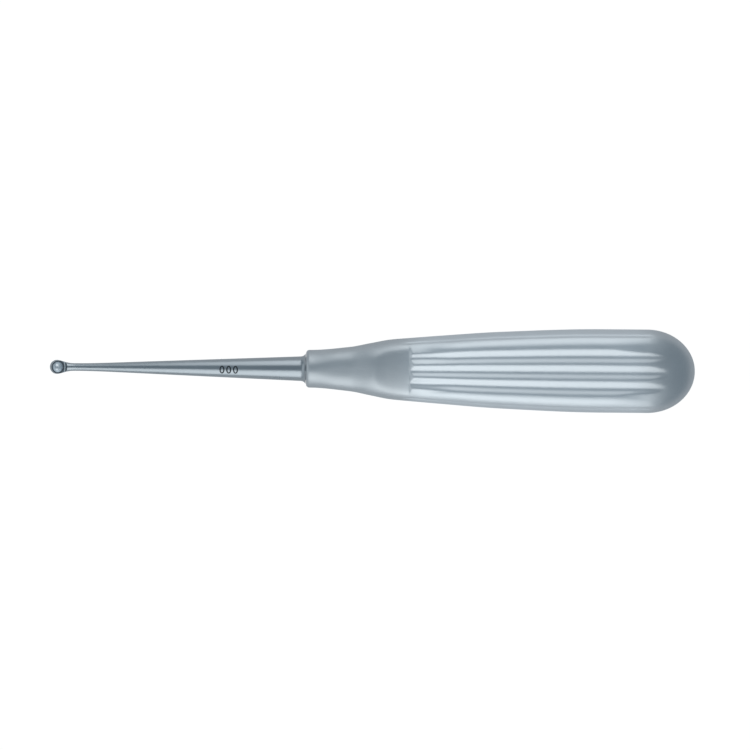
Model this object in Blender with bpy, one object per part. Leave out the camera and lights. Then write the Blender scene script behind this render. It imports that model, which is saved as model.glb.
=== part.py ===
"""A bone curette: a small sharp spoon on a tapered steel shaft, set in a hollow fluted handle.

Two pieces are made. The spoon, the shaft and the tang behind it are one forging. The handle is a
hollow pressing, open at its nose, where the tang goes in. Both are modelled along +X from the tip
of the spoon, on the instrument's own axis, and an empty then lays them on the handle's back.
"""

from math import acos, atan2, cos, hypot, pi, radians, sin, sqrt

import bmesh
import bpy
from mathutils import Matrix

# Sizes in metres. Places on the shaft are measured from the tip of the spoon.
SPOON_WIDTH = 0.0037
RIM_TILT = 20.0  # degrees that the open side leans back towards the handle
RIM_OVER_CENTRE = 0.0008
RIM_END = 0.0037
RIM_RAMP = 0.0013
BOWL_WIDTH = 0.0029
BOWL_UNDER_RIM = 0.0005
NECK_AT = 0.0069
NECK_WIDTH = 0.00202
NECK_CURVE = 3.2
TAPER_START = 0.0195
TAPER_START_WIDTH = 0.00272
TAPER_END_WIDTH = 0.00658
SHAFT_REACH = 0.0674
FLARE_LENGTH = 0.0015
FLARE_WIDTH = 0.0075
TANG_WIDTH = 0.0060
TANG_LENGTH = 0.0140
TANG_CHAMFER = 0.0006

# Places on the handle are measured from its front face, at the nose.
SEAM_GAP = 0.0003
MOUTH_CLEARANCE = 0.0003
HANDLE_LENGTH = 0.1023
HANDLE_WIDTH = 0.0220
HANDLE_THICKNESS = 0.0135
HANDLE_WALL = 0.0010
NOSE_WIDTH = 0.00995
NOSE_ROUND = 0.0011
SOCKET_LENGTH = 0.0090
SOCKET_CONE = 0.0030
THROAT_AT = 0.0114
THROAT_WIDTH = 0.01165
SHOULDER_AT = 0.0167
SHOULDER_WIDTH = 0.01368
FRONT_AT = 0.0220
FRONT_WIDTH = 0.01568
STEP_AT = 0.0273
STEP_WIDTH = 0.01664
GRIP_AT = 0.0352
GRIP_WIDTH = 0.01794
MIDDLE_AT = 0.0510
MIDDLE_WIDTH = 0.0202
WIDEST_AT = 0.0775
THROAT_THICKNESS = 0.0106
THUMB_START_THICKNESS = 0.0127
FULL_THICKNESS_AT = 0.0303
REAR_DOME = 0.01263
OVAL_POWER = 2.6  # of the oval ahead of the flat faces: 2 is an ellipse, more is squarer
OVAL_FROM = 0.0080
BACK_ROUND_UP_TO = 0.0090
BACK_FLAT_FROM = 0.0310
BACK_HOLLOW = 0.00012
FRONT_ROUND_UP_TO = 0.0270
FRONT_FLAT_FROM = 0.0400
FRONT_FLAT_UP_TO = 0.0800
ROUND_AGAIN_FROM = 0.0985

# The dished thumb rest, pressed into the upper face just ahead of the flutes.
THUMB_START = 0.0183
THUMB_FLAT_START = 0.0216
THUMB_FLAT_END = 0.0270
THUMB_WALL_LENGTH = 0.0014
THUMB_FLOOR_HEIGHT = 0.0060
THUMB_FLOOR_RADIUS = 0.0350
THUMB_CORNER = 0.0005

# The flutes on both faces, and the fine line along each of their shoulders.
FLUTE_COUNT = 3
FLUTE_PITCH = 0.00424
FLUTE_DEPTH = 0.0006
FLUTE_START = 0.0256
FLUTE_FADE = 0.0024
FLUTE_RUN_OUT = 0.0003
LINE_FROM_SIDE = 0.0014
LINE_WIDTH = 0.0010
LINE_DEPTH = 0.00012
LINE_START = 0.0245
LINE_END = 0.0920
LINE_FADE = 0.0025

# How finely the surfaces are divided. The angles are in degrees.
SHAFT_SIDES = 32
BALL_STEPS = 7
NECK_STEPS = 12
RAMP_STEPS = 10
BOWL_SIDES = 30
NOSE_STEPS = 3
FLUTE_STEPS = 6
SHOULDER_STEPS = 6
LINE_STEPS = 4
SHOULDER_TURN = 0.55  # share of a quarter ring's way round that lies on the shoulder
OUTER_DOME_ANGLES = (0, 9, 16, 22, 28, 36, 46, 58, 70, 82)
INNER_DOME_ANGLES = (0, 18, 36, 56, 76)
CREASE_ANGLE = 35.0


def smooth(value):
    """An S-shaped step from 0 to 1."""
    value = min(max(value, 0.0), 1.0)
    return value * value * (3 - 2 * value)


def soft_min(first, second, radius):
    """The lower of two heights, with the corner between them rounded off."""
    if radius <= 0:
        return min(first, second)
    near = max(radius - abs(first - second), 0.0) / radius
    return min(first, second) - near * near * radius / 4


def spaced(start, end, count):
    """Places from start up to, but not at, end."""
    return [start + (end - start) * i / count for i in range(count)]


def curve_through(stations):
    """A smooth curve through (place, value) stations that never overshoots them, level at both ends."""
    slopes = [0.0]
    for before, here, after in zip(stations, stations[1:], stations[2:]):
        rise_in = (here[1] - before[1]) / (here[0] - before[0])
        rise_out = (after[1] - here[1]) / (after[0] - here[0])
        same_way = rise_in * rise_out > 0
        slopes.append(2 * rise_in * rise_out / (rise_in + rise_out) if same_way else 0.0)
    slopes.append(0.0)

    def value_at(place):
        place = min(max(place, stations[0][0]), stations[-1][0])
        i = max(j for j in range(len(stations) - 1) if stations[j][0] <= place)
        (start, low), (end, high) = stations[i], stations[i + 1]
        span = end - start
        t = (place - start) / span
        bend_in = t * (1 - t) ** 2 * span * slopes[i]
        bend_out = t * t * (t - 1) * span * slopes[i + 1]
        return low + (high - low) * smooth(t) + bend_in + bend_out

    return value_at


def add_material(name, colour, roughness):
    material = bpy.data.materials.new(name)
    material.use_nodes = True
    shader = material.node_tree.nodes["Principled BSDF"]
    shader.inputs["Base Color"].default_value = (*colour, 1)
    shader.inputs["Metallic"].default_value = 1.0
    shader.inputs["Roughness"].default_value = roughness
    return material


def add_piece(name, mesh, material, parent):
    piece = bpy.data.objects.new(name, mesh)
    mesh.materials.append(material)
    mesh.shade_smooth()
    mesh.set_sharp_from_angle(angle=radians(CREASE_ANGLE))
    piece.parent = parent
    bpy.context.scene.collection.objects.link(piece)
    return piece


def skin_rings(work, rings):
    """Quads between rings of equal length, closed round."""
    for ring, after in zip(rings, rings[1:]):
        for i in range(len(ring)):
            j = (i + 1) % len(ring)
            work.faces.new((ring[i], ring[j], after[j], after[i]))


def close_ring(work, ring, point, at_front):
    """A fan from a ring to one point on the axis."""
    pole = work.verts.new(point)
    for i in range(len(ring)):
        pair = (ring[(i + 1) % len(ring)], ring[i])
        work.faces.new((pole, *(pair if at_front else reversed(pair))))


def mesh_of(work, name):
    bmesh.ops.recalc_face_normals(work, faces=work.faces)
    mesh = bpy.data.meshes.new(name)
    work.to_mesh(mesh)
    work.free()
    return mesh


# The spoon, the shaft and its tang.
SPOON_RADIUS = SPOON_WIDTH / 2
NECK_RADIUS = NECK_WIDTH / 2


def spoon_radius(place):
    """Half the width of the spoon, a ball in front, and of the neck that it narrows into."""
    if place <= SPOON_RADIUS:
        return sqrt(max(SPOON_RADIUS**2 - (SPOON_RADIUS - place) ** 2, 0.0))
    t = (place - SPOON_RADIUS) / (NECK_AT - SPOON_RADIUS)
    return NECK_RADIUS + (SPOON_RADIUS - NECK_RADIUS) * (1 - t) ** NECK_CURVE * (1 + NECK_CURVE * t)


def shaft_radius(place):
    """Half the width from the neck to the shoulder that meets the handle."""
    if place < TAPER_START:
        t = (place - NECK_AT) / (TAPER_START - NECK_AT)
        rise = (TAPER_END_WIDTH - TAPER_START_WIDTH) / 2 / (SHAFT_REACH - TAPER_START)
        bend = t * t * (t - 1) * (TAPER_START - NECK_AT) * rise
        return NECK_RADIUS + (TAPER_START_WIDTH / 2 - NECK_RADIUS) * smooth(t) + bend
    t = (place - TAPER_START) / (SHAFT_REACH - TAPER_START)
    taper = TAPER_START_WIDTH / 2 + (TAPER_END_WIDTH - TAPER_START_WIDTH) / 2 * t
    into_flare = max(place - SHAFT_REACH + FLARE_LENGTH, 0.0) / FLARE_LENGTH
    return taper + (FLARE_WIDTH - TAPER_END_WIDTH) / 2 * into_flare**2


def rim_height(place):
    """Height of the tilted flat that the spoon's rim lies in, and of the ramp from its end up the neck."""
    tilt = radians(RIM_TILT)
    flat = (RIM_OVER_CENTRE - (min(place, RIM_END) - SPOON_RADIUS) * sin(tilt)) / cos(tilt)
    ramp = max(place - RIM_END, 0.0) / RIM_RAMP
    return flat + NECK_WIDTH * ramp * ramp


def round_ring(work, place, radius, angles):
    return [work.verts.new((place, radius * cos(a), radius * sin(a))) for a in angles]


def rim_cutter():
    """What is ground off above the rim: its side outline, drawn out across the spoon."""
    clear = 2 * SPOON_WIDTH
    ramp_end = RIM_END + RIM_RAMP * sqrt(clear / NECK_WIDTH)
    outline = [(-clear, rim_height(-clear))]
    outline += [(place, rim_height(place)) for place in spaced(RIM_END, ramp_end, RAMP_STEPS)]
    outline += [(ramp_end, clear + SPOON_WIDTH), (-clear, clear + SPOON_WIDTH)]
    work = bmesh.new()
    side = work.faces.new([work.verts.new((x, -SPOON_WIDTH, z)) for x, z in outline])
    drawn = bmesh.ops.extrude_face_region(work, geom=[side])["geom"]
    moved = [item for item in drawn if isinstance(item, bmesh.types.BMVert)]
    bmesh.ops.translate(work, vec=(0.0, 2 * SPOON_WIDTH, 0.0), verts=moved)
    return mesh_of(work, "rim_cutter")


def bowl_cutter():
    """The ball that hollows the spoon, its centre under the rim and square to it."""
    work = bmesh.new()
    bmesh.ops.create_uvsphere(
        work, u_segments=BOWL_SIDES, v_segments=BOWL_SIDES * 2 // 3, radius=BOWL_WIDTH / 2
    )
    above = RIM_OVER_CENTRE - BOWL_UNDER_RIM
    tilt = radians(RIM_TILT)
    centre = (SPOON_RADIUS + above * sin(tilt), 0.0, above * cos(tilt))
    bmesh.ops.rotate(work, matrix=Matrix.Rotation(tilt, 3, "Y"), verts=work.verts)
    bmesh.ops.translate(work, vec=centre, verts=work.verts)
    return mesh_of(work, "bowl_cutter")


def cut(piece, mesh):
    cutter = bpy.data.objects.new(mesh.name, mesh)
    bpy.context.scene.collection.objects.link(cutter)
    cutter.parent = piece
    cutter.hide_render = True
    cutter.display_type = "WIRE"
    modifier = piece.modifiers.new(mesh.name, "BOOLEAN")
    modifier.solver = "EXACT"
    modifier.object = cutter


def add_shaft(material, parent):
    work = bmesh.new()
    angles = [2 * pi * i / SHAFT_SIDES for i in range(SHAFT_SIDES)]
    spoon = [SPOON_RADIUS * (1 - cos(turned)) for turned in spaced(0.0, pi / 2, BALL_STEPS)[1:]]
    spoon += spaced(SPOON_RADIUS, NECK_AT, NECK_STEPS)
    rings = [round_ring(work, place, spoon_radius(place), angles) for place in spoon]
    flare_start = SHAFT_REACH - FLARE_LENGTH
    places = spaced(NECK_AT, TAPER_START, 4) + spaced(TAPER_START, flare_start, 5)
    places += spaced(flare_start, SHAFT_REACH, 4) + [SHAFT_REACH]
    rings += [round_ring(work, place, shaft_radius(place), angles) for place in places]
    tang_end = SHAFT_REACH + TANG_LENGTH
    rings.append(round_ring(work, SHAFT_REACH, TANG_WIDTH / 2, angles))
    rings.append(round_ring(work, tang_end - TANG_CHAMFER, TANG_WIDTH / 2, angles))
    rings.append(round_ring(work, tang_end, TANG_WIDTH / 2 - TANG_CHAMFER, angles))
    skin_rings(work, rings)
    close_ring(work, rings[0], (0.0, 0.0, 0.0), at_front=True)
    work.faces.new(rings[-1])
    shaft = add_piece("spoon_shaft", mesh_of(work, "spoon_shaft"), material, parent)
    cut(shaft, rim_cutter())
    cut(shaft, bowl_cutter())


# The handle.
MOUTH_RADIUS = TANG_WIDTH / 2 + MOUTH_CLEARANCE
DOME_START = HANDLE_LENGTH - REAR_DOME
LINE_OFFSET = HANDLE_WIDTH / 2 - LINE_FROM_SIDE
FLUTED_HALF = FLUTE_COUNT * FLUTE_PITCH / HANDLE_WIDTH  # share of the half width that the flutes take
width_at = curve_through(
    (
        (NOSE_ROUND, NOSE_WIDTH),
        (THROAT_AT, THROAT_WIDTH),
        (SHOULDER_AT, SHOULDER_WIDTH),
        (FRONT_AT, FRONT_WIDTH),
        (STEP_AT, STEP_WIDTH),
        (GRIP_AT, GRIP_WIDTH),
        (MIDDLE_AT, MIDDLE_WIDTH),
        (WIDEST_AT, HANDLE_WIDTH),
    )
)
thickness_at = curve_through(
    (
        (NOSE_ROUND, NOSE_WIDTH),
        (THROAT_AT, THROAT_THICKNESS),
        (THUMB_START, THUMB_START_THICKNESS),
        (FULL_THICKNESS_AT, HANDLE_THICKNESS),
    )
)


def thumb_floor(place, across):
    """Height of the thumb rest's floor over the axis: dished at the front, crowned, with a wall behind."""
    ahead = (THUMB_FLAT_START - place) / (THUMB_FLAT_START - THUMB_START)
    drop = THUMB_START_THICKNESS / 2 - THUMB_FLOOR_HEIGHT
    behind = max(place - THUMB_FLAT_END, 0.0) / THUMB_WALL_LENGTH
    rise = HANDLE_THICKNESS / 2 - THUMB_FLOOR_HEIGHT + THUMB_CORNER
    crown = across**2 / (2 * THUMB_FLOOR_RADIUS)
    return THUMB_FLOOR_HEIGHT + drop * max(ahead, 0.0) ** 2 + rise * behind - crown


def flute_cut(share):
    """How deep the flutes are at a share of the half width: crests between round valleys."""
    if share >= FLUTED_HALF:
        return 0.0
    phase = pi * FLUTE_COUNT * (share / FLUTED_HALF + 1)
    return FLUTE_DEPTH * (1 - cos(phase)) / 2


def line_cut(share):
    """The fine line along the shoulder."""
    from_line = abs(share * HANDLE_WIDTH / 2 - LINE_OFFSET) / (LINE_WIDTH / 2)
    return LINE_DEPTH * (1 - smooth(from_line))


def back_hollow(place, share):
    """Share by which the back is lower between the four corners of its grip, so that it lies still on them."""
    middle = (FULL_THICKNESS_AT + DOME_START) / 2
    along = min(abs(place - middle) / (DOME_START - middle), 1.0)
    across = min(share / FLUTED_HALF, 1.0)
    return BACK_HOLLOW / (HANDLE_THICKNESS / 2) * (1 - (along * across) ** 2)


def section_shape(place, turn, face):
    """Shares of the half width and half thickness at a turn: 0 at the side, 1 at the middle of a face.

    The nose is round and gets oval. The grip has a flat face, as wide as its flutes, between round
    shoulders, and gets oval again towards the dome.
    """
    start, end = (FRONT_ROUND_UP_TO, FRONT_FLAT_FROM) if face > 0 else (BACK_ROUND_UP_TO, BACK_FLAT_FROM)
    leave = FRONT_FLAT_UP_TO if face > 0 else DOME_START
    flat_faced = smooth((place - start) / (end - start))
    flat_faced *= 1 - smooth((place - leave) / (ROUND_AGAIN_FROM - leave))
    shoulder = min(turn / SHOULDER_TURN, 1.0) * pi / 2
    onto_face = max(turn - SHOULDER_TURN, 0.0) / (1 - SHOULDER_TURN)
    share = FLUTED_HALF * (1 - onto_face) + (1 - FLUTED_HALF) * cos(shoulder)
    lift = sin(shoulder)
    if face < 0:
        lift *= 1 - back_hollow(place, share)
    power = 2 + (OVAL_POWER - 2) * smooth((place - NOSE_ROUND) / (OVAL_FROM - NOSE_ROUND))
    oval_share = max(cos(turn * pi / 2), 0.0) ** (2 / power)
    oval_lift = sin(turn * pi / 2) ** (2 / power)
    share = oval_share + flat_faced * (share - oval_share)
    lift = oval_lift + flat_faced * (lift - oval_lift)
    return share, lift


def section_point(place, turn, face, inset):
    """How far across and over the axis the handle's skin is, inset under its outer surface."""
    onto_dome = max(place - DOME_START, 0.0) / (REAR_DOME - inset)
    dome = sqrt(max(1 - onto_dome**2, 0.0))
    share, lift = section_shape(place, turn, face)
    half_width = width_at(place) / 2 - inset
    half_thickness = thickness_at(place) / 2 - inset
    across = half_width * share * dome
    height = half_thickness * lift * dome

    # The flutes follow the skin from where they start, and then run straight on, out through the dome.
    started = smooth((place - FLUTE_START) / FLUTE_FADE)
    crests = half_thickness * (lift if place < MIDDLE_AT else 1.0)
    channel = crests - flute_cut(across / (half_width + inset)) * started
    height = soft_min(height, channel, min(FLUTE_RUN_OUT, crests - height))

    line_in = smooth((place - LINE_START) / LINE_FADE)
    line_out = smooth((LINE_END - place) / LINE_FADE)
    cut = line_cut(share) * min(line_in, line_out) / hypot(share, lift)
    return across - cut * share, height - cut * lift


def quarter_turns():
    """Turns of a quarter ring's points, close together over the line and the flutes."""

    def turn_at(offset):
        beyond_face = (offset / (HANDLE_WIDTH / 2) - FLUTED_HALF) / (1 - FLUTED_HALF)
        return SHOULDER_TURN * acos(min(beyond_face, 1.0)) / (pi / 2)

    line_near = turn_at(LINE_OFFSET + LINE_WIDTH / 2)
    line_far = turn_at(LINE_OFFSET - LINE_WIDTH / 2)
    half_steps = SHOULDER_STEPS // 2
    turns = spaced(0.0, line_near, half_steps) + spaced(line_near, line_far, LINE_STEPS)
    turns += spaced(line_far, SHOULDER_TURN, SHOULDER_STEPS - half_steps)
    steps = FLUTE_COUNT * FLUTE_STEPS
    turns += [SHOULDER_TURN + (1 - SHOULDER_TURN) * 2 * i / steps for i in range((steps + 1) // 2)]
    return turns + ([1.0] if steps % 2 == 0 else [])


def ring_points():
    """(turn, side, face) of each point of a ring: side is 1 towards +Y, face is 1 on the upper half."""
    turns = quarter_turns()
    short = [turn for turn in reversed(turns) if turn < 1]
    points = [(turn, 1, 1) for turn in turns] + [(turn, -1, 1) for turn in short]
    points += [(turn, -1, -1) for turn in turns[1:]] + [(turn, 1, -1) for turn in short[:-1]]
    return points


def ring_angles():
    return [atan2(face * sin(t * pi / 2), side * cos(t * pi / 2)) for t, side, face in ring_points()]


def handle_ring(work, place, inset):
    """One closed ring of the handle's skin, its upper half dished by the thumb rest."""
    ring = []
    for turn, side, face in ring_points():
        across, height = section_point(place, turn, face, inset)
        if face > 0:
            height = soft_min(height, thumb_floor(place, across) - inset, THUMB_CORNER)
        ring.append(work.verts.new((place, side * across, face * height)))
    return ring


def handle_places(fine):
    """Where the skin's rings lie ahead of the dome. fine is 2 for the outer skin and 1 for the inner."""
    wall_end = THUMB_FLAT_END + THUMB_WALL_LENGTH
    stretches = (
        (NOSE_ROUND, THUMB_START, 4 * fine),
        (THUMB_START, THUMB_FLAT_START, 2 * fine),
        (THUMB_FLAT_START, THUMB_FLAT_END, 2),
        (THUMB_FLAT_END, wall_end, 2 * fine),
        (wall_end, FULL_THICKNESS_AT, 1),
        (FULL_THICKNESS_AT, FRONT_FLAT_FROM, 1 + fine),
        (FRONT_FLAT_FROM, FRONT_FLAT_UP_TO, 1 + fine),
        (FRONT_FLAT_UP_TO, DOME_START, fine),
    )
    return [place for stretch in stretches for place in spaced(*stretch)]


def dome_places(inset, angles):
    return [DOME_START + (REAR_DOME - inset) * sin(radians(angle)) for angle in angles]


def add_handle(material, parent):
    work = bmesh.new()
    angles = ring_angles()
    front_radius = NOSE_WIDTH / 2 - NOSE_ROUND
    outer = []
    for turned in spaced(0.0, pi / 2, NOSE_STEPS):
        place = NOSE_ROUND * (1 - cos(turned))
        outer.append(round_ring(work, place, front_radius + NOSE_ROUND * sin(turned), angles))
    places = handle_places(2) + dome_places(0.0, OUTER_DOME_ANGLES)
    outer += [handle_ring(work, place, 0.0) for place in places]
    skin_rings(work, outer)
    close_ring(work, outer[-1], (HANDLE_LENGTH, 0.0, 0.0), at_front=False)

    socket_end = SOCKET_LENGTH + SOCKET_CONE
    inner = [round_ring(work, place, MOUTH_RADIUS, angles) for place in (0.0, SOCKET_LENGTH)]
    places = [p for p in handle_places(1) if p > socket_end]
    places += dome_places(HANDLE_WALL, INNER_DOME_ANGLES)
    inner += [handle_ring(work, place, HANDLE_WALL) for place in [socket_end, *places]]
    skin_rings(work, [ring[::-1] for ring in inner])
    close_ring(work, inner[-1], (HANDLE_LENGTH - HANDLE_WALL, 0.0, 0.0), at_front=True)
    skin_rings(work, [inner[0], outer[0]])

    handle = add_piece("handle", mesh_of(work, "handle"), material, parent)
    handle.location.x = SHAFT_REACH + SEAM_GAP
    return handle


def main():
    for obj in list(bpy.data.objects):
        bpy.data.objects.remove(obj)
    curette = bpy.data.objects.new("curette", None)
    bpy.context.scene.collection.objects.link(curette)
    add_shaft(add_material("polished_steel", (0.50, 0.53, 0.55), 0.25), curette)
    handle = add_handle(add_material("satin_steel", (0.69, 0.72, 0.74), 0.45), curette)
    lowest = min(vertex.co.z for vertex in handle.data.vertices)
    curette.location = (-(SHAFT_REACH + SEAM_GAP + HANDLE_LENGTH) / 2, 0.0, -lowest)


main()
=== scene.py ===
from math import cos, pi, radians, sin, sqrt, tan

import bmesh
import bpy
from mathutils import Matrix, Vector


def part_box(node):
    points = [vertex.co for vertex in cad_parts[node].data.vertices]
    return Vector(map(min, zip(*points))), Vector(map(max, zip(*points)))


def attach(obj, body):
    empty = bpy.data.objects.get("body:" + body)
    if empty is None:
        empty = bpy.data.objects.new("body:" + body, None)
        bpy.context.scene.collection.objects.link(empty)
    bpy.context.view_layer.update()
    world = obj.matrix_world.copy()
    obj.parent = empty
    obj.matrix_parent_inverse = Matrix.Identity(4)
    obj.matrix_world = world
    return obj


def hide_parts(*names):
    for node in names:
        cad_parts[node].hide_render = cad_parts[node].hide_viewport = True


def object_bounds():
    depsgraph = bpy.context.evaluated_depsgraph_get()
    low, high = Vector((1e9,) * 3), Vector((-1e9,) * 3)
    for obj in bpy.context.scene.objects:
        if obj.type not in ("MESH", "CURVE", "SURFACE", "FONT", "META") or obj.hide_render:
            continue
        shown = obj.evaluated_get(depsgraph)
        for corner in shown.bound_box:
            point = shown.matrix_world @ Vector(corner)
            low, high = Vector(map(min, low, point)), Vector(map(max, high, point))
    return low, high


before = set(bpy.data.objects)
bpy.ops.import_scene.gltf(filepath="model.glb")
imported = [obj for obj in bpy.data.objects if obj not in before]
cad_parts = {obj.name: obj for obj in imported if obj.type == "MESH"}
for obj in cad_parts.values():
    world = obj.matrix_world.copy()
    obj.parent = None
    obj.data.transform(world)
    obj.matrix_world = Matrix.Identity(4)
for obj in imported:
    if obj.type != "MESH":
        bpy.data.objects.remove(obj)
cadBox = [list(corner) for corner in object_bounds()]
print("curette: frame loaded")


# Nodes

class Wire:  # a node's socket: an expression on wires adds the Math nodes that it needs
    def __init__(self, sheet, socket):
        self.sheet = sheet
        self.socket = socket

    def __add__(self, other):
        return self.sheet.maths("ADD", self, other)

    def __radd__(self, other):
        return self.sheet.maths("ADD", other, self)

    def __sub__(self, other):
        return self.sheet.maths("SUBTRACT", self, other)

    def __rsub__(self, other):
        return self.sheet.maths("SUBTRACT", other, self)

    def __mul__(self, other):
        return self.sheet.maths("MULTIPLY", self, other)

    def __rmul__(self, other):
        return self.sheet.maths("MULTIPLY", other, self)

    def __truediv__(self, other):
        return self.sheet.maths("DIVIDE", self, other)

    def __rtruediv__(self, other):
        return self.sheet.maths("DIVIDE", other, self)

    def __pow__(self, other):
        return self.sheet.maths("POWER", self, other)

    def __lt__(self, other):
        return self.sheet.maths("LESS_THAN", self, other)

    def __gt__(self, other):
        return self.sheet.maths("GREATER_THAN", self, other)

    def __abs__(self):
        return self.sheet.maths("ABSOLUTE", self)


class Sheet:  # a node tree that is being filled
    def __init__(self, tree):
        self.tree = tree

    def add(self, kind, settings=None, sockets=None, out=0):
        node = self.tree.nodes.new(kind)
        for name, value in (settings or {}).items():
            setattr(node, name, value)
        for name, value in (sockets or {}).items():
            for one in value if isinstance(value, list) else [value]:
                self.feed(node.inputs[name], one)
        return Wire(self, node.outputs[out]) if node.outputs else node

    def feed(self, socket, value):
        if isinstance(value, Wire):
            self.tree.links.new(value.socket, socket)
        else:
            socket.default_value = value

    def maths(self, operation, *values):
        return self.add("ShaderNodeMath", {"operation": operation}, dict(enumerate(values)))

    def lower(self, first, second):
        return self.maths("MINIMUM", first, second)

    def higher(self, first, second):
        return self.maths("MAXIMUM", first, second)

    def share(self, value, start, end):  # 0 before start, 1 past end
        return self.add("ShaderNodeMapRange", {}, {"Value": value, "From Min": start, "From Max": end})

    def ease(self, value, start, end):  # the same with soft ends
        return self.add(
            "ShaderNodeMapRange",
            {"interpolation_type": "SMOOTHSTEP"},
            {"Value": value, "From Min": start, "From Max": end},
        )

    def split(self, vector):
        parts = self.add("ShaderNodeSeparateXYZ", {}, {"Vector": vector})
        return [Wire(self, parts.socket.node.outputs[axis]) for axis in "XYZ"]

    def join(self, x, y, z):
        return self.add("ShaderNodeCombineXYZ", {}, {"X": x, "Y": y, "Z": z})


def shapeSheet(name, sizes):  # a Geometry Nodes tree with one named input for each size
    tree = bpy.data.node_groups.new(name, "GeometryNodeTree")
    tree.interface.new_socket(name="Geometry", in_out="OUTPUT", socket_type="NodeSocketGeometry")
    for word, value in sizes.items():
        kind = "NodeSocketInt" if isinstance(value, int) else "NodeSocketFloat"
        tree.interface.new_socket(name=word, in_out="INPUT", socket_type=kind)
    sheet = Sheet(tree)
    source = sheet.add("NodeGroupInput").socket.node
    return sheet, {word: Wire(sheet, source.outputs[word]) for word in sizes}


def finishShape(sheet, geometry, material):
    whole = sheet.add("GeometryNodeRealizeInstances", {}, {"Geometry": geometry})
    dressed = sheet.add("GeometryNodeSetMaterial", {}, {"Geometry": whole, "Material": material})
    sheet.add("NodeGroupOutput", {}, {"Geometry": dressed})


def addObject(name, mesh=None):
    made = bpy.data.objects.new(name, mesh or bpy.data.meshes.new(name))
    bpy.context.scene.collection.objects.link(made)
    return made


def makePlain(piece):  # what the modifiers make becomes the piece's own mesh
    depsgraph = bpy.context.evaluated_depsgraph_get()
    mesh = bpy.data.meshes.new_from_object(piece.evaluated_get(depsgraph))
    piece.modifiers.clear()
    piece.data = mesh
    mesh.name = piece.name


def shapeFrom(name, sheet, sizes):
    piece = addObject(name)
    modifier = piece.modifiers.new(name, "NODES")
    modifier.node_group = sheet.tree
    for item in sheet.tree.interface.items_tree:
        if item.in_out == "INPUT":
            modifier[item.identifier] = sizes[item.name]
    makePlain(piece)
    piece.data.materials.pop(index=0)  # the empty slot that comes before the set material
    return piece


# Where the frame has the two pieces: the shaft's tip, the handle's nose and the axis through both

shaftLow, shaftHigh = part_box("spoon_shaft")
handleLow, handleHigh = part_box("handle")
tipX = shaftLow.x
noseX = handleLow.x
axisZ = (shaftLow.z + shaftHigh.z) / 2


# Finishes

lengthwise = 1 / 14  # a scratch is this much coarser along itself than across
steelSpec = {
    "satinSteel": {"colour": (0.68, 0.72, 0.75), "roughness": 0.47},
    "polishedSteel": {"colour": (0.42, 0.46, 0.49), "roughness": 0.30},
    # painted shade: the rim's colour is made far darker than the shaft's steel
    "rimPaintedShade": {"colour": (0.20, 0.22, 0.235), "roughness": 0.20},
    # painted light: the bowl's colour is made much brighter than the shaft's steel
    "bowlPaintedLight": {"colour": (0.90, 0.94, 0.97), "roughness": 0.34},
    "brushed": {
        "perMetre": 2600.0,
        "scale": (lengthwise, 1.0, 1.0),
        "tone": 0.06,
        "roughness": 0.04,
        "bump": 1.0,
    },
    "buffed": {
        "perMetre": 900.0,
        "scale": (1.0, lengthwise, lengthwise),
        "tone": 0.02,
        "roughness": 0.01,
        "bump": 0.12,
    },
    "grainDepth": 0.000004,
    "mottlePerMetre": 160.0,
    "mottleTone": 0.08,
    "mottleRoughness": 0.06,
    "darkestTone": 0.93,
    "smootherBy": 0.05,
    # painted shade on the nose and the rear end, and painted light along the flutes, as shares of the
    # handle's colour
    "paintedShadeShare": 0.84,
    "paintedLightShare": 1.08,
    "brightFrom": 0.0895,
    "brightTo": 0.1625,
    "brightFade": 0.0100,
    "ringCentre": 0.0020,
    "ringRadius": 0.00178,
    "ringFade": 0.000178,
    "outsideRing": 1.5,
}


def paintedLightAlongFlutes(sheet, place):  # painted light and shade: the fluted length is painted brighter, the nose and the rear end are painted darker
    behindTip = sheet.split(place)[0] - tipX
    starts, ends, fade = steelSpec["brightFrom"], steelSpec["brightTo"], steelSpec["brightFade"]
    paintedLit = sheet.ease(behindTip, starts, starts + fade) - sheet.ease(behindTip, ends - fade, ends)
    return steelSpec["paintedShadeShare"] + (steelSpec["paintedLightShare"] - steelSpec["paintedShadeShare"]) * paintedLit


def paintedRimShadeRing(sheet, place):  # painted shade: the rim's flat ring is painted dark, the ramp outside it much less so
    x, y, _ = sheet.split(place)
    x = x - tipX - steelSpec["ringCentre"]
    fromCentre = (x * x + y * y) ** 0.5
    radius, fade = steelSpec["ringRadius"], steelSpec["ringFade"]
    return 1 + steelSpec["outsideRing"] * sheet.ease(fromCentre, radius, radius + fade)


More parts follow.
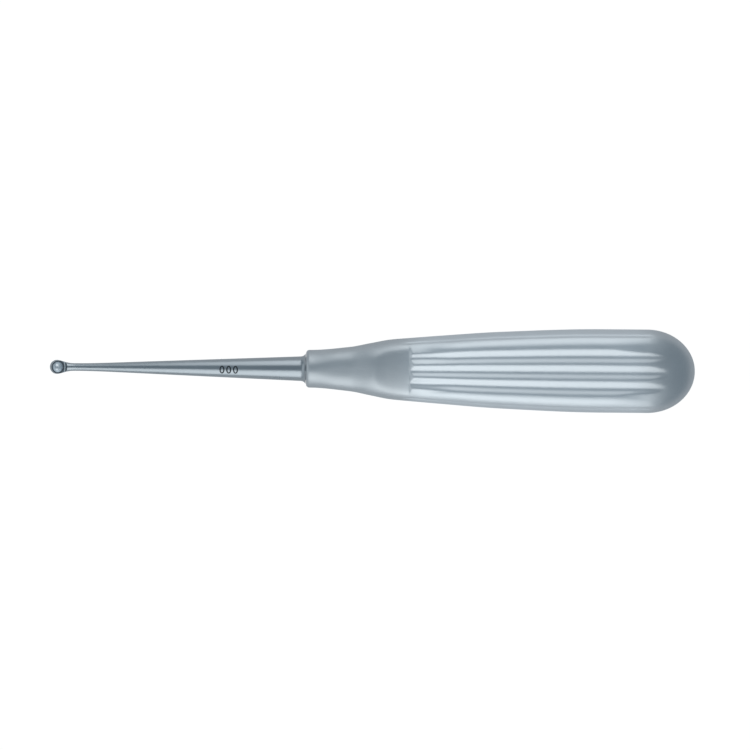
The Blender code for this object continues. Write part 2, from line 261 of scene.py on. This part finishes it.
def steelMaterial(name, worked, zone=None):  # a zone makes some places lighter or darker
    finish, scratches = steelSpec[name], steelSpec[worked]
    material = bpy.data.materials.new(name)
    material.use_nodes = True
    sheet = Sheet(material.node_tree)
    shader = material.node_tree.nodes["Principled BSDF"]
    shader.inputs["Metallic"].default_value = 1.0
    place = sheet.add("ShaderNodeTexCoord", out="Object")
    stretched = sheet.add("ShaderNodeMapping", {}, {"Vector": place, "Scale": scratches["scale"]})
    grain = sheet.add(
        "ShaderNodeTexNoise",
        {},
        {"Vector": stretched, "Scale": scratches["perMetre"], "Detail": 2.0, "Roughness": 0.6},
    )
    mottle = sheet.add(
        "ShaderNodeTexNoise",
        {},
        {"Vector": place, "Scale": steelSpec["mottlePerMetre"], "Detail": 3.0, "Roughness": 0.5},
    )
    tone = steelSpec["darkestTone"] + steelSpec["mottleTone"] * mottle + scratches["tone"] * grain
    if zone:
        tone = tone * zone(sheet, place)
    tinted = sheet.add(
        "ShaderNodeVectorMath",
        {"operation": "SCALE"},
        {0: finish["colour"], "Scale": tone},
    )
    sheet.feed(shader.inputs["Base Color"], tinted)
    roughness = finish["roughness"] - steelSpec["smootherBy"] + steelSpec["mottleRoughness"] * mottle
    sheet.feed(shader.inputs["Roughness"], roughness + scratches["roughness"] * grain)
    bump = sheet.add(
        "ShaderNodeBump",
        {},
        {"Height": grain, "Distance": steelSpec["grainDepth"], "Strength": scratches["bump"]},
    )
    sheet.feed(shader.inputs["Normal"], bump)
    return material


# the handle's steel carries painted light along the flutes and painted shade at the nose and the rear
# end
satinSteel = steelMaterial("satinSteel", "brushed", paintedLightAlongFlutes)
polishedSteel = steelMaterial("polishedSteel", "buffed")
# the rim's material is painted shade, darkest on the ring
rimPaintedShade = steelMaterial("rimPaintedShade", "buffed", paintedRimShadeRing)
# the bowl's material is painted light
bowlPaintedLight = steelMaterial("bowlPaintedLight", "buffed")


# The handle: one hollow pressing, as a skin of rings outside and another inside

handleSpec = {
    "length": handleHigh.x - handleLow.x,
    "width": handleHigh.y - handleLow.y,
    "thickness": 0.0135,
    "wall": 0.0010,
    "noseWidth": 0.00995,
    "noseRound": 0.0009,
    "seamFill": 0.00017,
    "mouthRadius": 0.0033,
    "socketLength": 0.0090,
    "socketCone": 0.0030,
    "rearDome": 0.01263,
    "ovalPower": 2.6,
    "ovalFrom": 0.0080,
    "backRoundUpTo": 0.0090,
    "backFlatFrom": 0.0310,
    "backHollow": 0.00012,
    "frontRoundUpTo": 0.0270,
    "frontFlatFrom": 0.0400,
    "frontFlatUpTo": 0.0800,
    "roundAgainFrom": 0.0985,
    "shoulderTurn": 0.55,
    "throatAt": 0.0114,
    "throatThickness": 0.0106,
    "thumbStart": 0.0183,
    "thumbStartThickness": 0.0127,
    "thumbFlatStart": 0.0216,
    "thumbFlatEnd": 0.0270,
    "thumbWallLength": 0.0014,
    "thumbFloorHeight": 0.0060,
    "thumbFloorRadius": 0.0350,
    "thumbCorner": 0.0005,
    "fullThicknessAt": 0.0303,
    "middleAt": 0.0510,
    "fluteCount": 3,
    "flutePitch": 0.00424,
    "fluteDepth": 0.0006,
    "fluteStart": 0.0256,
    "fluteFade": 0.0024,
    "fluteRunOut": 0.0003,
    "lineFromSide": 0.0014,
    "lineWidth": 0.0010,
    "lineDepth": 0.00012,
    "lineStart": 0.0245,
    "lineEnd": 0.0920,
    "lineFade": 0.0025,
    "sides": 320,
}
handleWidths = (  # distance from the nose, width
    (handleSpec["noseRound"], handleSpec["noseWidth"]),
    (handleSpec["throatAt"], 0.01165),
    (0.0167, 0.01368),
    (0.0220, 0.01568),
    (0.0273, 0.01664),
    (0.0352, 0.01794),
    (handleSpec["middleAt"], 0.0202),
    (0.0775, handleSpec["width"]),
)
handleThicknesses = (  # the same for the thickness
    (handleSpec["noseRound"], handleSpec["noseWidth"]),
    (handleSpec["throatAt"], handleSpec["throatThickness"]),
    (handleSpec["thumbStart"], handleSpec["thumbStartThickness"]),
    (handleSpec["fullThicknessAt"], handleSpec["thickness"]),
)


def curveThrough(sheet, place, stations):  # a smooth curve that is level at both ends
    rises = [(high[1] - low[1]) / (high[0] - low[0]) for low, high in zip(stations, stations[1:])]
    slopes = [0.0] + [2 * p * q / (p + q) for p, q in zip(rises, rises[1:])] + [0.0]
    value = stations[0][1]
    for i, ((start, low), (end, high)) in enumerate(zip(stations, stations[1:])):
        t = sheet.share(place, start, end)
        bend = slopes[i] * t * (1 - t) * (1 - t) - slopes[i + 1] * t * t * (1 - t)
        value = value + (high - low) * t * t * (3 - 2 * t) + (end - start) * bend
    return value


def softLower(sheet, first, second, radius):  # the lower of two, its corner rounded
    blend = 1.5 * radius  # how far apart the two still blend, for about that radius
    return sheet.add("ShaderNodeMath", {"operation": "SMOOTH_MIN"}, {0: first, 1: second, 2: blend})


def sectionShape(sheet, size, place, turn, upper):  # shares of the half width and the half thickness
    # A round shoulder, then flat across the flutes
    flutedHalf = size["fluteCount"] * size["flutePitch"] / size["width"]
    quarter = sheet.maths("PINGPONG", turn / (pi / 2), 1.0)  # 0 at a side, 1 at the middle of a face
    shoulder = sheet.lower(quarter / size["shoulderTurn"], 1.0) * (pi / 2)
    ontoFace = sheet.higher(quarter - size["shoulderTurn"], 0.0) / (1 - size["shoulderTurn"])
    flatShare = flutedHalf * (1 - ontoFace) + (1 - flutedHalf) * sheet.maths("COSINE", shoulder)
    flatLift = sheet.maths("SINE", shoulder)

    # The back is hollow along its middle, so that it lies on its four corners
    domeStart = size["length"] - size["rearDome"]
    middle = 0.5 * (size["fullThicknessAt"] + domeStart)
    along = sheet.lower(abs(place - middle) / (domeStart - middle), 1.0)
    corner = along * sheet.lower(flatShare / flutedHalf, 1.0)
    hollow = 2 * size["backHollow"] / size["thickness"] * (1 - corner * corner)
    flatLift = flatLift * (1 - hollow * (1 - upper))

    # An oval at the nose and the rear end, with the flat faces between
    front = sheet.ease(place, size["frontRoundUpTo"], size["frontFlatFrom"])
    front = front * (1 - sheet.ease(place, size["frontFlatUpTo"], size["roundAgainFrom"]))
    back = sheet.ease(place, size["backRoundUpTo"], size["backFlatFrom"])
    back = back * (1 - sheet.ease(place, domeStart, size["roundAgainFrom"]))
    flatFaced = upper * front + (1 - upper) * back
    power = 2 + (size["ovalPower"] - 2) * sheet.ease(place, size["noseRound"], size["ovalFrom"])
    ovalShare = sheet.higher(sheet.maths("COSINE", quarter * (pi / 2)), 0.0) ** (2 / power)
    ovalLift = sheet.maths("SINE", quarter * (pi / 2)) ** (2 / power)
    share = ovalShare + flatFaced * (flatShare - ovalShare)
    lift = ovalLift + flatFaced * (flatLift - ovalLift)
    return share, lift, flutedHalf


def handleSection(sheet, size, place, turn, inset):  # across and up from the axis, inset under the skin
    halfThickness = 0.5 * curveThrough(sheet, place, handleThicknesses) - inset
    halfWidth = 0.5 * curveThrough(sheet, place, handleWidths) - inset
    domeStart = size["length"] - size["rearDome"]
    ontoDome = sheet.higher(place - domeStart, 0.0) / (size["rearDome"] - inset)
    dome = sheet.maths("SQRT", sheet.higher(1 - ontoDome * ontoDome, 0.0))
    upper = sheet.maths("SINE", turn) > 0.0
    share, lift, flutedHalf = sectionShape(sheet, size, place, turn, upper)
    across = halfWidth * share * dome
    height = halfThickness * lift * dome

    # The flutes run straight on at the rear, and end where the dome falls below them
    channelShare = across / (halfWidth + inset)
    wave = 1 - sheet.maths("COSINE", pi * size["fluteCount"] * (channelShare / flutedHalf + 1))
    started = sheet.ease(place, size["fluteStart"], size["fluteStart"] + size["fluteFade"])
    crests = halfThickness * sheet.higher(lift, place > size["middleAt"])
    channel = crests - 0.5 * size["fluteDepth"] * wave * (channelShare < flutedHalf) * started
    height = softLower(sheet, height, channel, sheet.lower(size["fluteRunOut"], crests - height))

    # The fine line along each shoulder
    fromLine = abs(share * size["width"] / 2 - (size["width"] / 2 - size["lineFromSide"]))
    groove = size["lineDepth"] * (1 - sheet.ease(fromLine, 0.0, size["lineWidth"] / 2))
    into = sheet.ease(place, size["lineStart"], size["lineStart"] + size["lineFade"])
    out = 1 - sheet.ease(place, size["lineEnd"] - size["lineFade"], size["lineEnd"])
    cut = groove * into * out / sheet.maths("SQRT", share * share + lift * lift)
    across = across - cut * share
    height = height - cut * lift

    # The thumb rest: a crowned floor that rises gently ahead and steeply behind
    rampLength = size["thumbFlatStart"] - size["thumbStart"]
    ahead = sheet.higher(size["thumbFlatStart"] - place, 0.0) / rampLength
    behind = sheet.higher(place - size["thumbFlatEnd"], 0.0) / size["thumbWallLength"]
    dish = 0.5 * size["thumbStartThickness"] - size["thumbFloorHeight"]
    wall = 0.5 * size["thickness"] - size["thumbFloorHeight"] + size["thumbCorner"]
    crown = across * across / (2 * size["thumbFloorRadius"])
    floor = size["thumbFloorHeight"] + dish * ahead * ahead + wall * behind - crown - inset
    dished = softLower(sheet, height, floor, size["thumbCorner"])
    side = sheet.maths("SIGN", sheet.maths("COSINE", turn))
    return across * side, dished * upper - height * (1 - upper)


def ringSheet(sheet, rings, sides):  # a flat sheet to be rolled: which ring, and the turn round it
    grid = sheet.add(
        "GeometryNodeMeshGrid",
        {},
        {"Size X": 1.0, "Size Y": 1.0, "Vertices X": rings, "Vertices Y": sides + 1},
        out="Mesh",
    )
    x, y, _ = sheet.split(sheet.add("GeometryNodeInputPosition"))
    return grid, (x + 0.5) * (rings - 1), (y + 0.5) * 2 * pi


def placed(sheet, ring, start, stretches):  # how far along each ring lies, and the ring at the end
    place = 0.0
    for count, length in stretches:
        place = place + sheet.share(ring, start, start + count) * length
        start += count
    return place, start


def rolled(sheet, grid, position):
    return sheet.add("GeometryNodeSetPosition", {}, {"Geometry": grid, "Position": position})


def closedUp(sheet, parts):
    joined = sheet.add("GeometryNodeJoinGeometry", {}, {"Geometry": parts})
    reach = 0.000008  # points that lie closer than this become one
    return sheet.add("GeometryNodeMergeByDistance", {}, {"Geometry": joined, "Distance": reach})


def makeHandle():
    spec = handleSpec
    sheet, size = shapeSheet("handleShell", spec)
    domeStart = spec["length"] - spec["rearDome"]
    wallEnd = spec["thumbFlatEnd"] + spec["thumbWallLength"]
    faceRings, noseRings, domeRings = 4, 9, 64
    stretches = [  # how many rings, over what length
        (26, spec["thumbStart"] - spec["noseRound"] + spec["seamFill"]),
        (26, spec["thumbFlatEnd"] - spec["thumbStart"]),
        (16, wallEnd - spec["thumbFlatEnd"]),
        (8, spec["fullThicknessAt"] - wallEnd),
        (60, domeStart - spec["fullThicknessAt"]),
    ]
    rings = faceRings + noseRings + sum(count for count, _ in stretches) + domeRings + 1

    grid, ring, turn = ringSheet(sheet, rings, spec["sides"])
    turned = sheet.share(ring, faceRings, faceRings + noseRings) * (pi / 2)
    along, start = placed(sheet, ring, faceRings + noseRings, stretches)
    overDome = sheet.share(ring, start, start + domeRings) * (pi / 2)
    place = size["noseRound"] * (1 - sheet.maths("COSINE", turned)) + along - size["seamFill"]
    place = place + size["rearDome"] * sheet.maths("SINE", overDome)
    across, height = handleSection(sheet, size, place, turn, 0.0)
    front = 0.5 * size["noseWidth"] - size["noseRound"]
    face = sheet.share(ring, 0, faceRings) * (front - size["mouthRadius"])
    radius = size["mouthRadius"] + face + size["noseRound"] * sheet.maths("SINE", turned)
    scale = radius / (0.5 * size["noseWidth"])
    outer = rolled(sheet, grid, sheet.join(place + noseX, across * scale, height * scale + axisZ))
    outer = sheet.add("GeometryNodeFlipFaces", {}, {"Mesh": outer})

    socketEnd = spec["socketLength"] + spec["socketCone"]
    innerStretches = [
        (3, spec["socketLength"] + spec["seamFill"]),
        (4, spec["socketCone"]),
        (6, spec["thumbStart"] - socketEnd),
        (8, spec["thumbFlatEnd"] - spec["thumbStart"]),
        (6, wallEnd - spec["thumbFlatEnd"]),
        (16, domeStart - wallEnd),
    ]
    innerDomeRings = 16
    innerRings = sum(count for count, _ in innerStretches) + innerDomeRings + 1
    grid, ring, turn = ringSheet(sheet, innerRings, spec["sides"])
    along, start = placed(sheet, ring, 0, innerStretches)
    overDome = sheet.share(ring, start, start + innerDomeRings) * (pi / 2)
    place = along + (size["rearDome"] - size["wall"]) * sheet.maths("SINE", overDome) - size["seamFill"]
    across, height = handleSection(sheet, size, place, turn, size["wall"])
    opened = sheet.share(place, size["socketLength"], size["socketLength"] + size["socketCone"])
    bore = size["mouthRadius"] * (1 - opened)
    across = across * opened + bore * sheet.maths("COSINE", turn)
    height = height * opened + bore * sheet.maths("SINE", turn)
    inner = rolled(sheet, grid, sheet.join(place + noseX, across, height + axisZ))

    finishShape(sheet, closedUp(sheet, [outer, inner]), satinSteel)
    return shapeFrom("handleShell", sheet, spec)


# The spoon, its shaft and the tang: one turned form, whose spoon is then ground flat and hollowed

shaftSpec = {
    "spoonWidth": 0.0037,
    "rimTilt": 20.0,
    "rimOverCentre": 0.0008,
    "rimEnd": 0.0037,
    "rimRamp": 0.0013,
    "bowlWidth": 0.0029,
    "bowlUnderRim": 0.0005,
    "bowlSides": 96,
    "neckAt": 0.0069,
    "neckWidth": 0.00202,
    "neckCurve": 3.2,
    "taperStart": 0.0195,
    "taperStartWidth": 0.00272,
    "taperEndWidth": 0.00658,
    "reach": 0.0674,
    "flareLength": 0.0015,
    "flareWidth": 0.0080,
    "tangWidth": 0.0060,
    "tangLength": 0.0140,
    "tangChamfer": 0.0006,
    "sides": 128,
}


def taperRadius(sheet, size, place):  # half the width of the shaft's long taper
    grown = sheet.share(place, size["taperStart"], size["reach"])
    return 0.5 * (size["taperStartWidth"] + (size["taperEndWidth"] - size["taperStartWidth"]) * grown)


def turnShaft():
    spec = shaftSpec
    sheet, size = shapeSheet("spoonShaft", spec)
    ballRings = 28
    stretches = {  # how many rings, over what length
        "neck": (40, spec["neckAt"] - spec["spoonWidth"] / 2),
        "swell": (30, spec["taperStart"] - spec["neckAt"]),
        "taper": (40, spec["reach"] - spec["flareLength"] - spec["taperStart"]),
        "flare": (12, spec["flareLength"]),
        "shoulder": (4, 0.0),
        "tang": (8, spec["tangLength"] - spec["tangChamfer"]),
        "chamfer": (3, spec["tangChamfer"]),
        "end": (4, 0.0),
    }
    starts = {}
    rings = ballRings
    for name, (count, _) in stretches.items():
        starts[name] = rings
        rings += count
    grid, ring, turn = ringSheet(sheet, rings + 1, spec["sides"])
    turned = sheet.share(ring, 0, ballRings) * (pi / 2)
    along, _ = placed(sheet, ring, ballRings, stretches.values())
    place = 0.5 * size["spoonWidth"] * (1 - sheet.maths("COSINE", turned)) + along

    # From the spoon down to the neck, and up again into the taper
    onNeck = sheet.share(place, 0.5 * size["spoonWidth"], size["neckAt"])
    bulge = (1 - onNeck) ** size["neckCurve"] * (1 + size["neckCurve"] * onNeck)
    radius = 0.5 * (size["neckWidth"] + (size["spoonWidth"] - size["neckWidth"]) * bulge)
    radius = radius * sheet.maths("SINE", turned)
    t = sheet.share(place, size["neckAt"], size["taperStart"])
    rise = 0.5 * (size["taperEndWidth"] - size["taperStartWidth"]) / (size["reach"] - size["taperStart"])
    radius = radius - t * t * (1 - t) * (size["taperStart"] - size["neckAt"]) * rise
    radius = radius + (t * t * (3 - 2 * t) - 1) * 0.5 * (size["taperStartWidth"] - size["neckWidth"])
    radius = radius + taperRadius(sheet, size, place) - 0.5 * size["neckWidth"]
    # The flare before the seam, then the steps down to the tang and over its end
    flare = sheet.share(place, size["reach"] - size["flareLength"], size["reach"])
    radius = radius + 0.5 * (size["flareWidth"] - size["taperEndWidth"]) * flare**3
    for name, loss in (
        ("shoulder", 0.5 * (size["flareWidth"] - size["tangWidth"])),
        ("chamfer", size["tangChamfer"]),
        ("end", 0.5 * size["tangWidth"] - size["tangChamfer"]),
    ):
        radius = radius - loss * sheet.share(ring, starts[name], starts[name] + stretches[name][0])
    across = radius * sheet.maths("COSINE", turn)
    height = radius * sheet.maths("SINE", turn)
    turnedForm = rolled(sheet, grid, sheet.join(place + tipX, across, height + axisZ))
    turnedForm = sheet.add("GeometryNodeFlipFaces", {}, {"Mesh": turnedForm})
    finishShape(sheet, closedUp(sheet, [turnedForm]), polishedSteel)
    return shapeFrom("spoonShaft", sheet, spec)


def fromWork(name, work, material):
    bmesh.ops.recalc_face_normals(work, faces=work.faces)
    mesh = bpy.data.meshes.new(name)
    work.to_mesh(mesh)
    work.free()
    mesh.materials.append(material)
    return addObject(name, mesh)


def rimHeight(place):  # the tilted flat that the rim lies in, and the ramp from its end up the neck
    tilt = radians(shaftSpec["rimTilt"])
    fromCentre = min(place, shaftSpec["rimEnd"]) - shaftSpec["spoonWidth"] / 2
    flat = (shaftSpec["rimOverCentre"] - fromCentre * sin(tilt)) / cos(tilt)
    upRamp = max(place - shaftSpec["rimEnd"], 0.0) / shaftSpec["rimRamp"]
    return flat + shaftSpec["neckWidth"] * upRamp**2


def rimCutter():  # what is ground off above the rim
    clear = 2 * shaftSpec["spoonWidth"]
    rampLength = shaftSpec["rimRamp"] * sqrt(clear / shaftSpec["neckWidth"])
    steps = 32
    places = [-clear] + [shaftSpec["rimEnd"] + rampLength * i / steps for i in range(steps + 1)]
    outline = [(place, rimHeight(place)) for place in places]
    outline += [(places[-1], 2 * clear), (-clear, 2 * clear)]
    work = bmesh.new()
    corners = [work.verts.new((tipX + x, -clear, axisZ + z)) for x, z in outline]
    drawn = bmesh.ops.extrude_face_region(work, geom=[work.faces.new(corners)])["geom"]
    moved = [item for item in drawn if isinstance(item, bmesh.types.BMVert)]
    bmesh.ops.translate(work, vec=(0.0, 2 * clear, 0.0), verts=moved)
    return fromWork("rimCutter", work, rimPaintedShade)


def bowlCutter():  # the ball that hollows the spoon, square to its rim
    tilt = radians(shaftSpec["rimTilt"])
    above = shaftSpec["rimOverCentre"] - shaftSpec["bowlUnderRim"]
    centreX = tipX + shaftSpec["spoonWidth"] / 2 + above * sin(tilt)
    centre = Vector((centreX, 0.0, axisZ + above * cos(tilt)))
    sides, radius = shaftSpec["bowlSides"], shaftSpec["bowlWidth"] / 2
    work = bmesh.new()
    bmesh.ops.create_uvsphere(work, u_segments=sides, v_segments=sides // 2, radius=radius)
    bmesh.ops.rotate(work, matrix=Matrix.Rotation(tilt, 3, "Y"), verts=work.verts)
    bmesh.ops.translate(work, vec=centre, verts=work.verts)
    return fromWork("bowlCutter", work, bowlPaintedLight)


def cutBy(piece, cutter):
    modifier = piece.modifiers.new(cutter.name, "BOOLEAN")
    modifier.solver = "EXACT"
    modifier.material_mode = "TRANSFER"  # what is cut takes the cutter's material, with the painted shade of the rim and the painted light of the bowl
    modifier.object = cutter
    makePlain(piece)
    bpy.data.objects.remove(cutter)


def makeShaft():
    shaft = turnShaft()
    cutBy(shaft, rimCutter())
    cutBy(shaft, bowlCutter())
    return shaft


# The size mark: plain zeros on the upper side of the shaft

markFinish = {
    "colour": (0.020, 0.024, 0.030),
    "roughness": 0.55,
    "specklePerMetre": 9000.0,
    "darkestTone": 0.6,
    "speckleTone": 0.8,
    "speckleRoughness": 0.2,
}
markSpec = {
    "digits": 3,
    "place": 0.0472,
    "pitch": 0.00178,
    "width": 0.00132,
    "height": 0.00216,
    "stroke": 0.00035,
    "turn": -6.0,
    "sunk": 0.00002,
    "proud": 0.00001,
    "sides": 72,
}
for word in ("taperStart", "taperStartWidth", "taperEndWidth", "reach"):
    markSpec[word] = shaftSpec[word]  # the taper that the mark is wrapped round


def markMaterial():
    material = bpy.data.materials.new("etchedMark")
    material.use_nodes = True
    sheet = Sheet(material.node_tree)
    shader = material.node_tree.nodes["Principled BSDF"]
    place = sheet.add("ShaderNodeTexCoord", out="Object")
    speckle = sheet.add(
        "ShaderNodeTexNoise",
        {},
        {"Vector": place, "Scale": markFinish["specklePerMetre"], "Detail": 1.0},
    )
    tone = markFinish["darkestTone"] + markFinish["speckleTone"] * speckle
    tinted = sheet.add(
        "ShaderNodeVectorMath",
        {"operation": "SCALE"},
        {0: markFinish["colour"], "Scale": tone},
    )
    sheet.feed(shader.inputs["Base Color"], tinted)
    roughness = markFinish["roughness"] + markFinish["speckleRoughness"] * speckle
    sheet.feed(shader.inputs["Roughness"], roughness)
    return material


def makeMark():
    spec = markSpec
    sheet, size = shapeSheet("sizeMark", spec)
    corners = 5  # the four of a stroke's section, and the first one again
    grid, corner, turn = ringSheet(sheet, corners, spec["sides"])
    inwards = size["stroke"] * (sheet.share(corner, 1, 2) - sheet.share(corner, 3, 4))
    risen = sheet.share(corner, 0, 1) - sheet.share(corner, 2, 3)
    lift = (size["sunk"] + size["proud"]) * risen - size["sunk"]
    x = (0.5 * size["width"] - inwards) * sheet.maths("COSINE", turn)
    y = (0.5 * size["height"] - inwards) * sheet.maths("SINE", turn)
    zero = rolled(sheet, grid, sheet.join(x, y, lift))

    first = size["place"] - 0.5 * size["pitch"] * (size["digits"] - 1)
    line = sheet.add(
        "GeometryNodeMeshLine",
        {"mode": "OFFSET"},
        {
            "Count": size["digits"],
            "Start Location": sheet.join(first, 0.0, 0.0),
            "Offset": sheet.join(size["pitch"], 0.0, 0.0),
        },
    )
    row = sheet.add("GeometryNodeInstanceOnPoints", {}, {"Points": line, "Instance": zero})
    row = sheet.add("GeometryNodeRealizeInstances", {}, {"Geometry": row})
    place, around, lift = sheet.split(sheet.add("GeometryNodeInputPosition"))
    bare = taperRadius(sheet, size, place)
    angle = around / bare + size["turn"] * (pi / 180)
    radius = bare + lift
    across = radius * sheet.maths("SINE", angle)
    height = radius * sheet.maths("COSINE", angle)
    wrapped = rolled(sheet, row, sheet.join(place + tipX, across, height + axisZ))
    wrapped = sheet.add("GeometryNodeFlipFaces", {}, {"Mesh": wrapped})
    finishShape(sheet, closedUp(sheet, [wrapped]), markMaterial())
    return shapeFrom("sizeMark", sheet, spec)


def smoothFaces(piece, crease):
    piece.data.shade_smooth()
    piece.data.set_sharp_from_angle(angle=radians(crease))


handle = makeHandle()
smoothFaces(handle, crease=40.0)
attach(handle, "root")
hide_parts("handle")
print("curette: handle made,", len(handle.data.polygons), "faces")

shaft = makeShaft()
smoothFaces(shaft, crease=30.0)
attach(shaft, "root")
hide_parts("spoon_shaft")
print("curette: shaft made,", len(shaft.data.polygons), "faces")

sizeMark = makeMark()
smoothFaces(sizeMark, crease=30.0)
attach(sizeMark, "root")
print("curette: size mark made,", len(sizeMark.data.polygons), "faces")


# The white table, the light and the camera

stageSpec = {
    "tableReach": 2.0,
    "paperColour": (0.36, 0.42, 0.47, 1.0),
    "glowShare": 0.85,
    "glowStrength": 1.16,
    "glowInMetal": 0.40,
    "roomColour": (0.73, 0.89, 1.02, 1.0),
    "roomStrength": 0.33,
}
lampSpec = {  # two long soft boxes beside the instrument, and one before the spoon's end
    "distance": 0.50,
    "colour": (0.985, 0.988, 0.972),
    "near": {
        "towards": (0.0, -1.0, 0.0),
        "fromVertical": 50.0,
        "span": 66.0,
        "length": 0.32,
        "shift": 0.01,
        "strength": 1.20,
    },
    "far": {
        "towards": (0.0, 1.0, 0.0),
        "fromVertical": 63.0,
        "span": 50.0,
        "length": 0.27,
        "shift": 0.035,
        "strength": 1.18,
    },
    "head": {
        "towards": (-0.97, -0.26, 0.0),
        "fromVertical": 56.0,
        "span": 56.0,
        "length": 1.20,
        "shift": 0.0,
        "strength": 0.36,
    },
}
cameraSpec = {
    "distance": 1.6,
    "seenWidth": 0.1977,
    "sensor": 36.0,
    "lean": 4.3,
    "roll": 0.43,
    "centreFromTip": 0.0857,
    "centreUnderAxis": 0.00152,
}


def seenRays(sheet):  # how much of the glow a ray sees, and whether it comes straight from the camera
    path = sheet.add("ShaderNodeLightPath").socket.node
    rays = ("Is Camera Ray", "Is Glossy Ray", "Is Transmission Ray")
    straight, mirrored, through = [Wire(sheet, path.outputs[name]) for name in rays]
    return sheet.lower(straight + stageSpec["glowInMetal"] * mirrored + through, 1.0), straight


def makeTable():
    reach = stageSpec["tableReach"]
    work = bmesh.new()
    bmesh.ops.create_grid(work, x_segments=1, y_segments=1, size=reach)
    mesh = bpy.data.meshes.new("table")
    work.to_mesh(mesh)
    work.free()
    table = addObject("table", mesh)
    material = bpy.data.materials.new("whiteTable")
    material.use_nodes = True
    sheet = Sheet(material.node_tree)
    paper = sheet.add("ShaderNodeBsdfDiffuse", {}, {"Color": stageSpec["paperColour"]})
    glow = sheet.add("ShaderNodeEmission", {}, {"Strength": stageSpec["glowStrength"]})
    seen, _ = seenRays(sheet)
    both = sheet.add("ShaderNodeMixShader", {}, {0: stageSpec["glowShare"] * seen, 1: paper, 2: glow})
    sheet.feed(material.node_tree.nodes["Material Output"].inputs["Surface"], both)
    mesh.materials.append(material)


def lightRoom():
    world = bpy.data.worlds.new("room")
    bpy.context.scene.world = world
    world.use_nodes = True
    sheet = Sheet(world.node_tree)
    room = world.node_tree.nodes["Background"]
    room.inputs["Color"].default_value = stageSpec["roomColour"]
    room.inputs["Strength"].default_value = stageSpec["roomStrength"]
    white = sheet.add("ShaderNodeBackground", {}, {"Color": (1.0, 1.0, 1.0, 1.0), "Strength": 1.0})
    _, straight = seenRays(sheet)
    lit = Wire(sheet, room.outputs[0])
    both = sheet.add("ShaderNodeMixShader", {}, {0: straight, 1: lit, 2: white})
    sheet.feed(world.node_tree.nodes["World Output"].inputs["Surface"], both)


def addSoftBox(name):
    spec, distance = lampSpec[name], lampSpec["distance"]
    lamp = bpy.data.lights.new(name + "Box", "AREA")
    lamp.shape = "RECTANGLE"
    lamp.size = spec["length"]
    lamp.size_y = 2 * distance * tan(radians(spec["span"] / 2))
    lamp.color = lampSpec["colour"]
    lamp.energy = spec["strength"] * pi * lamp.size * lamp.size_y
    softBox = bpy.data.objects.new(name + "Box", lamp)
    bpy.context.scene.collection.objects.link(softBox)
    angle = radians(spec["fromVertical"])
    outwards = sin(angle) * Vector(spec["towards"]) + cos(angle) * Vector((0.0, 0.0, 1.0))
    middle = Vector(((cadBox[0][0] + cadBox[1][0]) / 2 + spec["shift"], 0.0, axisZ))
    softBox.location = middle + distance * outwards
    softBox.rotation_euler = outwards.to_track_quat("Z", "Y").to_euler()


def placeCamera():
    spec = cameraSpec
    lean, roll = radians(spec["lean"]), radians(spec["roll"])
    back = Vector((0.0, sin(lean), cos(lean)))
    level, upwards = Vector((1.0, 0.0, 0.0)), Vector((0.0, cos(lean), -sin(lean)))
    right = cos(roll) * level + sin(roll) * upwards
    up = -sin(roll) * level + cos(roll) * upwards
    target = Vector((tipX + spec["centreFromTip"], 0.0, axisZ)) - spec["centreUnderAxis"] * up
    lens = bpy.data.cameras.new("camera")
    lens.sensor_width = spec["sensor"]
    lens.lens = spec["sensor"] * spec["distance"] / spec["seenWidth"]
    camera = bpy.data.objects.new("camera", lens)
    bpy.context.scene.collection.objects.link(camera)
    turn = Matrix((right, up, back)).transposed().to_4x4()
    camera.matrix_world = Matrix.Translation(target + spec["distance"] * back) @ turn
    bpy.context.scene.camera = camera


makeTable()
lightRoom()
for name in ("near", "far", "head"):
    addSoftBox(name)
placeCamera()
bpy.context.scene.view_settings.view_transform = "Standard"
print("curette: table, light and camera placed")
